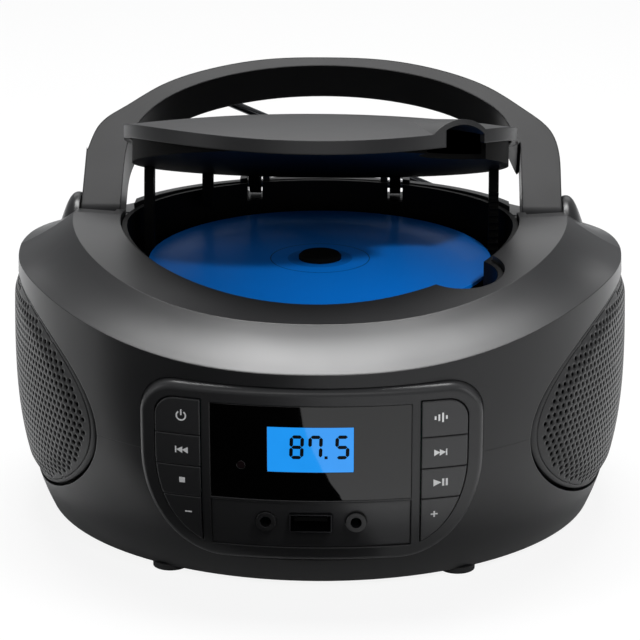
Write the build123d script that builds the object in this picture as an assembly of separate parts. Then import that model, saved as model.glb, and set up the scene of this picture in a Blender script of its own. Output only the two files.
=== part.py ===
from build123d import *
import math
import os

# A portable top-loading disc player with its lid open, as separate pieces.
# Millimetres, +Z up, front towards -Y. The origin is under the disc's centre, on the surface it stands on.

# The disc, whose size sets everything else
disc_d = 120.0
disc_hole_d = 15.0
disc_t = 1.2
disc_z = 85.0

# Body: plan radii of the belt and of the underside, and heights
belt_r = 106.0
crest_r = 105.0
crest_draw = 1.2
belt_z = 60.0
seam_z = 48.0
base_z = 2.0
base_drop_x = 9.7
base_drop_y = 15.0
belly_power = 2.6
body_top_z = 112.0
wall = 2.4
back_y = 93.0

# Deck: heights above the disc at the front and how much each line rises towards the sides
rim_r = 69.5
rim_front = 5.85
rim_rise = 10.0
rim_back = 10.4
ridge_r = 86.0
ridge_front = 4.4
ridge_rise = 12.3
crest_front = -6.0
crest_rise = 11.0
crest_turn = 1.25
band_sag = 0.8
deck_t = 2.6
back_floor = -0.6
back_ring_r = 72.5
back_fall_deg = 45.0
back_fall = 0.3
notch_x = 49.0
notch_y = -46.0
notch_r = 14.0

# Disc well
well_gap = 0.5
well_wall = 1.8
well_floor_t = 2.0
well_floor = -4.0
well_below_rim = 2.0

# Handle: it swings about pins in the ears and is drawn raised by handle_deg above level
handle_deg = 34.0
pivot_y = 18.0
pivot_z = disc_z + 9.0
handle_reach = 71.4
handle_out_x = 85.0
handle_in_x = 71.0
handle_top_t = 4.3
handle_half_w = 8.3
handle_gap = 0.4
boss_r = 2.6
boss_in_x = 67.7
pin_r = 2.0
pin_fit = 0.05
ear_t = 3.0
ear_half = 11.5
ear_top = 18.3
slot_in_x = 66.8
channel_in_x = 69.2
channel_turn_x = 60.0
channel_turn_y = 45.0

# Lid: an arched shell, hinged behind the well and drawn open by lid_deg
lid_deg = 19.3
lid_r = 68.5
lid_side = 22.5
lid_drop_front = 10.0
lid_drop_back = 6.5
lid_crown = 4.4
lid_t = 2.0
lid_skirt = 4.6
lid_skirt_t = 2.0
hinge_y = 71.0
hinge_z = disc_z + 8.0
hood_r = 22.0
hood_t = 1.8
hood_rise = 3.9
hood_from_r = 40.0
hood_from_half = 12.0
hood_mouth_half = 9.5
pan_r = 65.5
pan_z = 9.7
pan_t = 1.8
lug_x = 26.0
lug_t = 4.0
lug_gap = 0.8
hinge_pin_r = 1.5
hinge_lug_r = 3.6
hinge_slot_floor = 3.9
hinge_ear_t = 2.6
hinge_ear_r = 4.0

# Guide arms under the lid, arcs about the hinge, and the damper gear on the right one
arm_x = 60.9
arm_t = 3.4
arm_in_r = 52.5
arm_out_r = 59.0
arm_low_deg = 208.0
stop_x = 42.3
stop_t = 4.0
stop_in_r = 22.8
stop_out_r = 26.3
stop_low_deg = 184.0
tooth_module = 0.8
gear_teeth = 12
sector_teeth = 150
gear_deg = 200.0

# Drive under the disc
hub_fit = 0.05
hub_top = 2.4
plate_r = 13.0
motor_r = 12.0
motor_low = 59.0
chassis_z = 57.0
chassis_t = 2.0
chassis_half = 34.0
chassis_y = (-78.0, 16.0)
rod_x = 14.0
rod_z = 66.0
rod_r = 1.5
rod_y = (-74.0, -6.2)
sled_half_x = 17.0
sled_front = -40.0
sled_back = -14.0
sled_travel = 30.0
lens_y = -27.0
lens_body_r = 6.5
lens_r = 3.0

# Front panel: flatter than the body, leaning with the belly, heights measured from the disc
panel_r = 150.0
panel_front = 106.8
bezel_half = 55.4
bezel_top = -10.5
bezel_low = -73.0
bezel_corner = 12.0
bezel_curve_x = 28.0
bezel_curve_z = -35.0
bezel_t = 2.4
bezel_round = 2.5
key_inset = 5.2
key_corner = 6.5
key_inner_x = 35.5
key_rows = (-16.4, -27.8, -38.6, -49.5, -67.2)
key_gap = 0.35
key_t = 3.0
key_proud = 0.5
key_board_y = -86.0
key_board_z = (24.0, 72.0)
stem_x = 41.0
stem_half = 1.5
switch_half = 3.0
switch_t = 2.2
key_travel = 0.9
window_half = 32.2
window_top = -16.4
window_low = -48.8
window_t = 1.5
lcd_half_x = 13.8
lcd_x = 0.0
lcd_top = -23.3
lcd_low = -38.7
ir_x = -22.3
ir_z = -36.8
ir_r = 1.35
jack_top = -49.8
jack_low = -67.2
jack_recess = 0.6
jack_x = 14.6
jack_z = -56.8
jack_ring_r = 3.3
jack_bore_r = 1.8
jack_len = 14.0
usb_half_x = 6.8
usb_z = -56.8
usb_half_z = 3.0
usb_metal = 0.3
usb_len = 14.0

# Speakers: an oval opening centred on a direction measured round from the front
grille_deg = 80.5
grille_half = 65.3
grille_half_z = 36.0
grille_z = disc_z - 36.0
grille_gap = 0.3
grille_proud = 1.2
grille_t = 2.2
grille_hole_r = 1.6
grille_pitch = 7.6
basket_r = 30.0
magnet_r = 16.0

# Aerial
aerial_x = 62.0
aerial_y = 97.0
aerial_z = disc_z - 9.7
aerial_deg = 23.0
tube_r = 1.6
tube_wall = 0.3
tube_gap = 0.05
tube_from = 6.0
tube_len = 104.0
knuckle_r = 5.5
knuckle_low = 65.05
fork_low = 70.0

# Back: battery bay and mains inlet
bay_half = 25.0
bay_low = 14.9
bay_high = 44.5
bay_front = 39.5
bay_wall = 1.5
door_half = 26.8
door_low = 14.0
door_high = 45.4
door_t = 1.7
door_gap = 0.3
door_pin_r = 1.0
inlet_x = -38.0
inlet_z = 66.0
inlet_half_x = 9.0
inlet_half_z = 5.0
inlet_deep = 12.0

# Boards
board_z = 16.0
board_t = 1.6
main_board_half = 45.0
main_board_y = (-60.0, 20.0)
core_x = (-60.0, -30.0)
core_y = (25.0, 55.0)
core_high = 34.0
fit_gap = 0.1

# Underside
foot_r = 6.0
foot_x = 48.0
foot_y = (-73.0, 66.0)
screw_spots = ((-55.0, -45.0), (55.0, -45.0), (-66.0, 45.0), (66.0, 45.0))
screw_r = 1.6


def rel(z):
    """A height given from the disc, as a height from the floor."""
    return disc_z + z


def block(x0, x1, y0, y1, z0, z1):
    size = Box(x1 - x0, y1 - y0, z1 - z0)
    return Pos((x0 + x1) / 2, (y0 + y1) / 2, (z0 + z1) / 2) * size


def rod_along_z(x, y, r, z0, z1):
    return Pos(x, y, (z0 + z1) / 2) * Cylinder(r, z1 - z0)


def rod_along_x(y, z, r, x0, x1):
    return Pos((x0 + x1) / 2, y, z) * Rot(0, 90, 0) * Cylinder(r, x1 - x0)


def rod_along_y(x, z, r, y0, y1):
    return Pos(x, (y0 + y1) / 2, z) * Rot(90, 0, 0) * Cylinder(r, y1 - y0)


def slab_x(points, x0, x1):
    """A polygon of (y, z) points, thick along X."""
    face = Plane.YZ * make_face(Polyline(*points, close=True))
    return Pos(x0, 0, 0) * extrude(face, x1 - x0)


def mirror_x(shape):
    return mirror(shape, Plane.YZ)


def one(shape):
    """The largest solid of a shape, where a cut leaves crumbs."""
    solids = sorted(shape.solids(), key=lambda s: s.volume)
    return solids[-1]


def save(name, *shapes):
    solids = []
    for shape in shapes:
        solids += list(shape.solids())
    body = solids[0] if len(solids) == 1 else Compound(children=solids)
    export_step(body, os.path.join("parts", name + ".step"))


os.makedirs("parts", exist_ok=True)


# Body form
def belly(z, drop):
    """Plan radius at a height: the belt above, drawn in below it by a power curve."""
    if z >= belt_z:
        return belt_r - crest_draw * ((z - belt_z) / (disc_z + 10 - belt_z)) ** 1.5
    share = (belt_z - z) / (belt_z - base_z)
    return belt_r - drop * share**belly_power


def body_form(inset, low=base_z, high=body_top_z):
    """The outer form of the body, drawn in by inset, from low to high, with its flat back."""
    steps = [base_z, 9.0, 18.0, 28.0, 40.0, 50.0, belt_z, 78.0, body_top_z]
    levels = [low] + [z for z in steps if low + 1 < z < high - 1] + [high]
    rings = []
    for z in levels:
        ring = Ellipse(belly(z, base_drop_x) - inset, belly(z, base_drop_y) - inset)
        rings.append(Pos(0, 0, z) * ring)
    form = loft(rings)
    reach = 2 * belt_r
    return form - block(-reach, reach, back_y - inset, reach, low - 1, high + 1)


# Deck surface
def rim_height(deg):
    s = math.sin(math.radians(deg))
    if abs(deg) <= 90:
        return rim_front + rim_rise * s**2
    c = abs(math.cos(math.radians(deg)))
    return rim_front + rim_rise + (rim_back - rim_front - rim_rise) * c


def ridge_height(deg):
    return ridge_front + ridge_rise * abs(math.sin(math.radians(deg))) ** 3


def crest_height(deg):
    turn = min(90.0, crest_turn * abs(deg))
    return crest_front + crest_rise * math.sin(math.radians(turn)) ** 3


def fall(deg):
    """0 beside the handle, 1 on the flat deck behind it."""
    from_front = min(abs(deg), 360 - abs(deg))
    t = min(1.0, max(0.0, (from_front - 90) / back_fall_deg))
    return t * t * (3 - 2 * t)


def radial_plane(deg):
    a = math.radians(deg)
    out = (math.sin(a), -math.cos(a), 0)
    side = (-math.cos(a), -math.sin(a), 0)
    return Plane(origin=(0, 0, disc_z), x_dir=out, z_dir=side)


def sky_section(deg, lift, behind):
    """Everything above the deck, cut along one radius. Its lower edge is the deck's line."""
    inner, outer, sky = 40.0, 130.0, 60.0
    rim, ridge, crest = rim_height(deg), ridge_height(deg), crest_height(deg)
    if behind:
        f = fall(deg)
        rim = rim_height(90) * (1 - f) + (back_floor + back_fall) * f
        ridge = (ridge_front + ridge_rise) * (1 - f) + back_floor * f
        crest = (crest_front + crest_rise) * (1 - f) + (back_floor - 1.0) * f
    sag = (ridge + crest) / 2 - band_sag
    slope = (crest - sag) / (crest_r - ridge_r) * 2
    far = crest + slope * (outer - crest_r) * 0.6
    floor_line = ((inner, rim + lift), (rim_r, rim + lift), (ridge_r, ridge + lift))
    path = Polyline((outer, sky), (inner, sky), *floor_line)
    middle = ((ridge_r + crest_r) / 2, sag + lift)
    band = ThreePointArc((ridge_r, ridge + lift), middle, (crest_r, crest + lift))
    close = Polyline((crest_r, crest + lift), (outer, far + lift), (outer, sky))
    return radial_plane(deg) * make_face(path + band + close)


def ring_section(deg):
    """Everything above the wall round the back of the well, cut along one radius."""
    inner, outer, sky = 40.0, 90.0, 60.0
    rim = rim_height(deg)
    frame = Polyline((inner, rim), (outer, rim), (outer, sky), (inner, sky), close=True)
    return radial_plane(deg) * make_face(frame)


step_deg = 15
front_degs = range(-90, 91, step_deg)
back_degs = range(90, 271, step_deg)
sky_front = loft([sky_section(d, 0, False) for d in front_degs])
sky_front_low = loft([sky_section(d, -deck_t, False) for d in front_degs])
sky_back = loft([sky_section(d, 0, True) for d in back_degs])

outer_form = body_form(0)
inner_form = body_form(wall)
reach = 1.3 * belt_r

deck = body_form(0, seam_z) - sky_front - sky_back
front_hollow = inner_form & block(-reach, reach, -reach, 0, seam_z - 1, body_top_z)
front_hollow -= sky_front_low
back_top = rel(back_floor) - deck_t
back_hollow = inner_form & block(-reach, reach, 0, back_y - wall, seam_z - 1, back_top)
deck = deck - front_hollow - back_hollow
ring_low = rel(back_floor) - 1
ring = rod_along_z(0, 0, back_ring_r, ring_low, body_top_z) - rod_along_z(0, 0, rim_r, ring_low, body_top_z)
ring &= block(-reach, reach, 0, reach, ring_low, body_top_z)
deck += ring - loft([ring_section(d) for d in back_degs])
bracket_half = lug_t / 2 + lug_gap + hinge_ear_t
for side in (-1, 1):
    mid = side * lug_x
    top = hinge_z + hinge_ear_r
    deck += block(mid - bracket_half, mid + bracket_half, rim_r - 10, hinge_y + hinge_ear_r, back_top, top)
deck -= rod_along_z(0, 0, rim_r, seam_z - 1, body_top_z)
deck -= rod_along_z(notch_x, notch_y, notch_r, seam_z - 1, body_top_z)


def ear_arch(x, half, top):
    low = rel(back_floor) - 1
    arch = ThreePointArc((pivot_y - half, low), (pivot_y, rel(top)), (pivot_y + half, low))
    base = Line((pivot_y + half, low), (pivot_y - half, low))
    return Pos(x, 0, 0) * (Plane.YZ * make_face(arch + base))


ear_in = handle_out_x + handle_gap
ear_shape = (
    (ear_in, ear_half, ear_top),
    (ear_in + ear_t, ear_half + 0.6, ear_top - 0.4),
    (ear_in + ear_t + 4, ear_half + 3, ear_top - 8.5),
    (ear_in + ear_t + 10, ear_half + 7, ear_top - 16.8),
)
ear = loft([ear_arch(*row) for row in ear_shape]) & outer_form
deck = deck + ear + mirror_x(ear)

slot_front = pivot_y - handle_half_w - 0.6
for side in (-1, 1):
    near = sorted((side * slot_in_x, side * ear_in))
    deck -= block(*near, slot_front, 30, rel(back_floor), body_top_z)
    far = sorted((side * channel_in_x, side * ear_in))
    deck -= block(*far, 29, back_y + 1, rel(back_floor), body_top_z)
    turn = sorted((side * channel_turn_x, side * ear_in))
    deck -= block(*turn, channel_turn_y, back_y + 1, rel(back_floor), body_top_z)
    hinge_slot = lug_t / 2 + lug_gap
    mid = side * lug_x
    deck -= block(mid - hinge_slot, mid + hinge_slot, 55, 78, rel(hinge_slot_floor), body_top_z)
    pin_out = ear_in + 4.5
    deck -= rod_along_x(pivot_y, pivot_z, pin_r, *sorted((side * 84, side * pin_out)))
    deck -= rod_along_x(hinge_y, hinge_z, hinge_pin_r, mid - 5.5, mid + 5.5)


def grille_prism(gap, near, far):
    """The speaker's oval, pushed straight out along the speaker's own direction."""
    oval = Ellipse(grille_half - gap, grille_half_z - gap)
    a = math.radians(grille_deg)
    out = (math.sin(a), -math.cos(a), 0)
    plane = Plane(origin=(0, 0, grille_z), x_dir=(math.cos(a), math.sin(a), 0), z_dir=out)
    return extrude(plane.offset(near) * oval, far - near)


grille_hole = grille_prism(0, 60, 130)
grille_holes = grille_hole + mirror_x(grille_hole)


# Front panel form
def panel_form(inset, low=4.0, high=90.0):
    """A wide upright drum whose front lies on the panel, leaning in with the belly below."""
    steps = [low, 10.0, 18.0, 28.0, 40.0, 50.0, belt_z, high]
    centre = panel_r - panel_front
    line = []
    for z in steps:
        lean = belt_r - belly(min(z, belt_z), base_drop_y)
        line.append((panel_r - lean - inset, z))
    curve = Spline(*line)
    frame = Polyline(line[-1], (0, high), (0, low), line[0])
    face = Plane.XZ * make_face(curve + frame)
    return Pos(0, centre, 0) * revolve(face, Axis.Z)


def bezel_face(inset, corner):
    """The D outline: straight top with round corners, and sides that curve into the bottom."""
    half = bezel_half - inset
    top = rel(bezel_top - inset)
    turn_z = rel(bezel_curve_z)
    rx = half - bezel_curve_x
    rz = bezel_curve_z - bezel_low - inset
    right = EllipticalCenterArc((bezel_curve_x, turn_z), rx, rz, start_angle=270, arc_size=90)
    left = EllipticalCenterArc((-bezel_curve_x, turn_z), rx, rz, start_angle=180, arc_size=90)
    low = turn_z - rz
    bottom = Line((-bezel_curve_x, low), (bezel_curve_x, low))
    k = corner * (1 - math.sqrt(0.5))
    right_side = Line((half, turn_z), (half, top - corner))
    right_top = ThreePointArc((half, top - corner), (half - k, top - k), (half - corner, top))
    top_line = Line((half - corner, top), (-half + corner, top))
    left_top = ThreePointArc((-half + corner, top), (-half + k, top - k), (-half, top - corner))
    left_side = Line((-half, top - corner), (-half, turn_z))
    edge = right + right_side + right_top + top_line + left_top + left_side + left + bottom
    return make_face(edge)


def forward(sketch, y_front=-120.0, y_back=-70.0):
    """A sketch in X and Z, pushed from y_back to y_front."""
    plane = Plane(origin=(0, y_back, 0), x_dir=(1, 0, 0), z_dir=(0, -1, 0))
    return extrude(plane * sketch, y_back - y_front)


def flat_rect(x0, x1, z0, z1):
    return Pos((x0 + x1) / 2, (z0 + z1) / 2) * Rectangle(x1 - x0, z1 - z0)


panel_out = panel_form(0)
bezel_slot = forward(bezel_face(0, bezel_corner))
upper_shell = deck - grille_holes - bezel_slot
inlet_y = back_y - inlet_deep
upper_shell -= block(
    inlet_x - inlet_half_x - fit_gap, inlet_x + inlet_half_x + fit_gap, inlet_y, back_y + 1,
    inlet_z - inlet_half_z - fit_gap, inlet_z + inlet_half_z + fit_gap
)
save("upper_shell", one(upper_shell))

lower = body_form(0, base_z, seam_z) - body_form(wall, base_z + wall, seam_z + 1)
lower = lower - grille_holes - bezel_slot
for x in (-40, 40):
    for y in (-55, 15):
        lower += rod_along_z(x, y, 3, base_z + 1, board_z)
for x, y in screw_spots:
    lower += rod_along_z(x, y, 4.5, base_z, 24) & body_form(0.5, base_z, seam_z)
    lower -= rod_along_z(x, y, 3.2, base_z - 1, 8)
    lower -= rod_along_z(x, y, screw_r, 7, 22)
door_cut = door_half + door_gap
lower -= block(-door_cut, door_cut, back_y - 4, back_y + 2, door_low - 0.7, door_high + door_gap)
door_axis_y = back_y - 1.2
door_axis_z = door_low + 1.2
lower -= rod_along_x(door_axis_y, door_axis_z, door_pin_r + pin_fit, -door_cut - 1.5, door_cut + 1.5)
save("lower_shell", one(lower))

# Bezel
bezel = (forward(bezel_face(0.15, bezel_corner)) & panel_out) - body_form(wall)
bezel -= forward(bezel_face(bezel_t, bezel_corner - 2)) & panel_form(bezel_t)
key_outline = forward(bezel_face(key_inset - key_gap, key_corner))
for side in (-1, 1):
    columns = sorted((side * (key_inner_x - key_gap), side * bezel_half))
    field = forward(flat_rect(*columns, rel(key_rows[-1]) - 1, rel(key_rows[0]) + 2))
    bezel -= key_outline & field
window_edge = 2.0
window_rect = flat_rect(-window_half, window_half, rel(window_low), rel(window_top))
ledge_half = window_half - window_edge
ledge_rect = flat_rect(-ledge_half, ledge_half, rel(window_low) + window_edge, rel(window_top) - window_edge)
bezel -= forward(offset(window_rect, 0.1)) - panel_form(window_t)
bezel -= forward(ledge_rect)
jack_rect = flat_rect(-window_half, window_half, rel(jack_low), rel(jack_top))
jack_ledge = flat_rect(-window_half + 3, window_half - 3, rel(jack_low) + 2, rel(jack_top) - 2)
jack_back = jack_recess + 1.2
bezel -= forward(offset(jack_rect, 0.1)) - panel_form(jack_back)
bezel -= forward(jack_ledge)
bezel = one(bezel)
bezel_front = min(bezel.faces(), key=lambda f: f.center().Y)
save("front_bezel", bezel.fillet(bezel_round, bezel_front.outer_wire().edges()))

lcd_mid_z = rel((lcd_top + lcd_low) / 2)
lcd_face = flat_rect(lcd_x - lcd_half_x, lcd_x + lcd_half_x, rel(lcd_low), rel(lcd_top))
ir_face = Pos(ir_x, rel(ir_z)) * Circle(ir_r + 0.05)
window = (forward(window_rect) & panel_out) - panel_form(window_t)
window = window - forward(lcd_face) - forward(ir_face)
save("display_window", one(window))
lcd = forward(offset(lcd_face, -0.05)) & panel_form(0.1)
lcd -= panel_form(2.0)
lcd_block_y = -(panel_front - 4.6)
lcd_body = block(lcd_x - 16, lcd_x + 16, lcd_block_y, lcd_block_y + 3, rel(lcd_low) - 2, rel(lcd_top) + 2)
lcd_neck = forward(offset(lcd_face, -0.6), -panel_front + 1.4, lcd_block_y + 0.2)
save("lcd_module", lcd + lcd_neck + lcd_body)
ir_lens = (forward(Pos(ir_x, rel(ir_z)) * Circle(ir_r)) & panel_form(0.1)) - panel_form(3.0)
save("ir_sensor", one(ir_lens))

jack_plate = (forward(jack_rect) & panel_form(jack_recess)) - panel_form(jack_back)
usb_rect = Rectangle(2 * usb_half_x, 2 * usb_half_z)
usb_place = Pos(0, rel(usb_z)) * usb_rect
for side in (-1, 1):
    jack_plate -= forward(Pos(side * jack_x, rel(jack_z)) * Circle(jack_ring_r + 0.05))
jack_plate -= forward(offset(usb_place, 0.05))
save("jack_panel", one(jack_plate))


def jack(x):
    y0 = -(panel_front - 2.6)
    ring = rod_along_y(x, rel(jack_z), jack_ring_r, y0, y0 + 5.4)
    body = block(x - 4.5, x + 4.5, y0 + 5.4, y0 + jack_len, rel(jack_z) - 4.5, rel(jack_z) + 4.5)
    return ring + body - rod_along_y(x, rel(jack_z), jack_bore_r, y0 - 1, y0 + jack_len)


save("headphone_jack", jack(-jack_x))
save("line_in_jack", jack(jack_x))

usb_y = -(panel_front - 1.6)
usb_outer = forward(usb_place, usb_y, usb_y + usb_len)
usb_inner = forward(offset(usb_place, -usb_metal), usb_y - 1, usb_y + usb_len - 0.4)
save("usb_port", usb_outer - usb_inner)
tongue_z = rel(usb_z) + 1.0
save("usb_tongue", block(-5.4, 5.4, usb_y + 1.5, usb_y + usb_len - 0.4, tongue_z - 0.7, tongue_z + 0.7))

# Keys
key_names = (
    ("power_key", "back_key", "stop_key", "volume_down_key"),
    ("mode_key", "next_key", "play_key", "volume_up_key"),
)
key_shape = forward(bezel_face(key_inset, key_corner)) & panel_form(-key_proud)
key_shape -= panel_form(key_t)
stem_z = []
for row in range(4):
    high, low = rel(key_rows[row]), rel(key_rows[row + 1])
    stem_z.append((high + low) / 2 if row < 3 else high - 5.0)
for side, names in zip((-1, 1), key_names):
    for row, name in enumerate(names):
        high = rel(key_rows[row]) - key_gap / 2 + (2 if row == 0 else 0)
        low = rel(key_rows[row + 1]) + key_gap / 2 - (2 if row == 3 else 0)
        columns = sorted((side * key_inner_x, side * bezel_half))
        cap = key_shape & forward(flat_rect(*columns, low, high))
        x = side * stem_x
        z = stem_z[row]
        stem_end = key_board_y - switch_t - key_travel - 0.2
        stem = block(x - stem_half, x + stem_half, -102, stem_end, z - stem_half, z + stem_half)
        save(name, one(cap + (stem & panel_form(key_t - 0.5))))

switches = []
for side in (-1, 1):
    for z in stem_z:
        x = side * stem_x
        face_y = key_board_y - switch_t
        span_x = (x - switch_half, x + switch_half)
        switches.append(block(*span_x, face_y, key_board_y, z - switch_half, z + switch_half))
save("key_switches", *switches)
board_half = stem_x + switch_half + 2
save("key_board", block(-board_half, board_half, key_board_y, key_board_y + board_t, *key_board_z))

# Disc well
well_r = rim_r - well_gap
floor_low = rel(well_floor) - well_floor_t
pocket_r = notch_r - well_gap


def bowl(inset, low):
    round_part = rod_along_z(0, 0, well_r - inset, low, body_top_z)
    return round_part + rod_along_z(notch_x, notch_y, pocket_r - inset, low, body_top_z)


front_points = []
for k in range(8):
    t = k / 7 * 1.15
    front_points.append((-t * rim_r, rel(rim_front + rim_rise * (1 - t * t) - well_below_rim)))
back_t = 1.15
back_z = rim_front + rim_rise + (rim_back - rim_front - rim_rise) * back_t
saddle_line = Spline(*front_points[::-1])
saddle_rest = Polyline(
    front_points[0],
    (back_t * rim_r, rel(back_z)),
    (back_t * rim_r, body_top_z + 5),
    (-back_t * rim_r, body_top_z + 5),
    front_points[-1],
)
saddle = Plane.YZ * make_face(saddle_line + saddle_rest)
saddle_cut = Pos(-reach, 0, 0) * extrude(saddle, 2 * reach)
well = bowl(0, floor_low) - bowl(well_wall, rel(well_floor)) - saddle_cut
well -= rod_along_z(0, 0, 4.0, floor_low - 1, body_top_z)
slot_half = lens_body_r + 0.8
lens_far = lens_y - sled_travel
well -= block(-slot_half, slot_half, lens_far - slot_half, lens_y + slot_half, floor_low - 1, rel(0))
for side in (-1, 1):
    near = sorted((side * (arm_x - arm_t / 2 - 0.7), side * (arm_x + arm_t / 2 + 0.7)))
    well -= block(*near, 10.0, 21.4, floor_low - 1, rel(well_floor) + 0.5)
    mid = side * lug_x
    hinge_slot = lug_t / 2 + lug_gap
    well -= block(mid - hinge_slot, mid + hinge_slot, 50, 75, rel(hinge_slot_floor), body_top_z)
save("disc_well", one(well))


# Lid, drawn closed and then opened about the hinge
def open_lid(shape):
    axis = Axis((0, hinge_y, hinge_z), (1, 0, 0))
    return shape.rotate(axis, -lid_deg)


def lid_top(x, y):
    """An arch from front to back with a low crown over it."""
    drop = lid_drop_front if y < 0 else lid_drop_back
    crown = lid_crown * (1 - (x * x + y * y) / lid_r**2)
    return rel(lid_side - drop * (y / lid_r) ** 2 + crown)


def lid_sheet(lower):
    """The lid's top surface as one face, lowered."""
    n = 18
    half = lid_r + 3
    grid = []
    for i in range(n + 1):
        x = -half + 2 * half * i / n
        row = []
        for j in range(n + 1):
            y = -half + 2 * half * j / n
            row.append(Vector(x, y, lid_top(x, y) - lower))
        grid.append(row)
    return Face.make_surface_from_array_of_points(grid)


def under_sheet(lower, depth):
    return Solid.extrude(lid_sheet(lower), Vector(0, 0, -depth))


plate = under_sheet(0, lid_t) & rod_along_z(0, 0, lid_r, 60, 140)
skirt = under_sheet(0, lid_skirt)
skirt = skirt & (rod_along_z(0, 0, lid_r, 60, 140) - rod_along_z(0, 0, lid_r - lid_skirt_t, 60, 140))
notch_deg = math.degrees(math.atan2(notch_x, -notch_y))


def hood(inset):
    """A cone along the notch's radius: it rises out of the lid and is widest at the lid's edge."""
    a = math.radians(notch_deg)
    out = Vector(math.sin(a), -math.cos(a), 0)
    near_z = lid_top(out.X * hood_from_r, out.Y * hood_from_r) - 0.2 - inset
    far_z = lid_top(out.X * lid_r, out.Y * lid_r) + hood_rise - inset
    near_r, far_r = hood_from_half - inset, hood_r - inset
    start = Plane(origin=out * hood_from_r + Vector(0, 0, near_z - near_r), x_dir=(0, 0, 1), z_dir=tuple(out))
    end = Plane(origin=out * (lid_r + 1) + Vector(0, 0, far_z - far_r), x_dir=(0, 0, 1), z_dir=tuple(out))
    return loft([start * Circle(near_r), end * Circle(far_r)])


hood_out = hood(0) & rod_along_z(0, 0, lid_r, 60, 140)
hood_out = hood_out - under_sheet(lid_t, 60)
mouth = block(hood_from_r + 12, lid_r + 2, -hood_mouth_half, hood_mouth_half, 60, 140)
mouth = Rot(0, 0, notch_deg - 90) * mouth
hood_in = hood(hood_t) & mouth
lid = plate + skirt + hood_out
lid -= hood_in
lid = open_lid(one(lid))
save("cd_lid", lid)

pan_top = under_sheet(lid_t + 0.3, 60) & block(-reach, reach, -reach, reach, rel(pan_z), body_top_z + 20)
pan_ring = rod_along_z(0, 0, pan_r, 60, 140) - rod_along_z(0, 0, pan_r - pan_t, 60, 140)
pan = (pan_ring & pan_top) + rod_along_z(0, 0, pan_r - 0.2, rel(pan_z), rel(pan_z) + pan_t)
pan -= rod_along_z(notch_x, notch_y, notch_r + 1.0, 60, 140)
lug_line = (
    (54.0, rel(pan_z)),
    (62.5, rel(pan_z)),
    (hinge_y, hinge_z + hinge_lug_r),
    (hinge_y, hinge_z - hinge_lug_r),
    (64.0, rel(4.6)),
    (55.0, rel(9.2)),
)
for side in (-1, 1):
    x0 = side * lug_x - lug_t / 2
    lug = slab_x(lug_line, x0, x0 + lug_t)
    lug += rod_along_x(hinge_y, hinge_z, hinge_lug_r, x0, x0 + lug_t)
    pan += lug - rod_along_x(hinge_y, hinge_z, hinge_pin_r + pin_fit, x0 - 1, x0 + lug_t + 1)
save("lid_inner_pan", open_lid(one(pan)))

hinge_pins = []
for side in (-1, 1):
    mid = side * lug_x
    hinge_pins.append(rod_along_x(hinge_y, hinge_z, hinge_pin_r, mid - 5.4, mid + 5.4))
save("lid_hinge_pins", *hinge_pins)

pitch_r = tooth_module * sector_teeth / 2
gear_r = tooth_module * gear_teeth / 2
tip = 0.7
root = 1.0
half_root, half_tip = 0.6, 0.2


def tooth(r_root, r_tip):
    return Polygon(
        (r_root - 0.3, -half_root), (r_tip, -half_tip), (r_tip, half_tip), (r_root - 0.3, half_root), align=None
    )


def arc_band(r_in, r_out, deg_from, deg_to, x0, x1):
    """A band of a ring about the hinge, between two angles seen along X."""
    a, b = math.radians(deg_from), math.radians(deg_to)
    m = (a + b) / 2

    def at(r, t):
        return (hinge_y + r * math.cos(t), hinge_z + r * math.sin(t))

    line = ThreePointArc(at(r_in, a), at(r_in, m), at(r_in, b))
    line += Line(at(r_in, b), at(r_out, b))
    line += ThreePointArc(at(r_out, b), at(r_out, m), at(r_out, a))
    line += Line(at(r_out, a), at(r_in, a))
    return Pos(x0, 0, 0) * extrude(Plane.YZ * make_face(line), x1 - x0)


below_pan = block(-reach, reach, -reach, reach, 0, rel(pan_z))


def lid_arm(side):
    x0 = side * arm_x - arm_t / 2
    arm = arc_band(arm_in_r, arm_out_r, 172, arm_low_deg + lid_deg, x0, x0 + arm_t)
    if side > 0:
        pitch_deg = 360 / sector_teeth
        teeth = []
        for k in range(-14, 11):
            turn = gear_deg + lid_deg + (k + 0.5) * pitch_deg
            if turn > arm_low_deg + lid_deg - 1:
                continue
            place = Pos(x0, hinge_y, hinge_z) * Rot(turn, 0, 0)
            teeth.append(place * extrude(Plane.YZ * tooth(pitch_r - root, pitch_r + tip), arm_t))
        for piece in teeth:
            arm += piece
    return arm & below_pan


save("lid_arm_left", open_lid(one(lid_arm(-1))))
save("lid_arm_right", open_lid(one(lid_arm(1))))
stop_span = (-stop_x - stop_t / 2, -stop_x + stop_t / 2)
short_arm = arc_band(stop_in_r, stop_out_r, 165, stop_low_deg + lid_deg, *stop_span)
save("lid_stop_arm", open_lid(one(short_arm & below_pan)))

# Damper and its gear
gear_y = hinge_y + (pitch_r + gear_r) * math.cos(math.radians(gear_deg))
gear_z = hinge_z + (pitch_r + gear_r) * math.sin(math.radians(gear_deg))
arm_face = arm_x - arm_t / 2
damper = rod_along_x(gear_y, gear_z, 6.0, arm_face - 10.6, arm_face - 0.6)
damper += block(arm_face - 10, arm_face - 4, gear_y - 3, gear_y + 3, gear_z + 5, floor_low)
damper += rod_along_x(gear_y, gear_z, 1.2, arm_face - 1, arm_face + arm_t)
save("lid_damper", damper)


def spur(bore):
    """A small gear with one tooth on the +X axis of its own plane."""
    face = Circle(gear_r - root)
    for k in range(gear_teeth):
        face += Rot(0, 0, k * 360 / gear_teeth) * tooth(gear_r - root, gear_r + tip)
    return face - Circle(bore)


gear = extrude(Plane.YZ * (Rot(0, 0, gear_deg + 180) * spur(1.2 + pin_fit)), arm_t - 0.2)
save("damper_gear", Pos(arm_face + 0.1, gear_y, gear_z) * gear)

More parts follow.
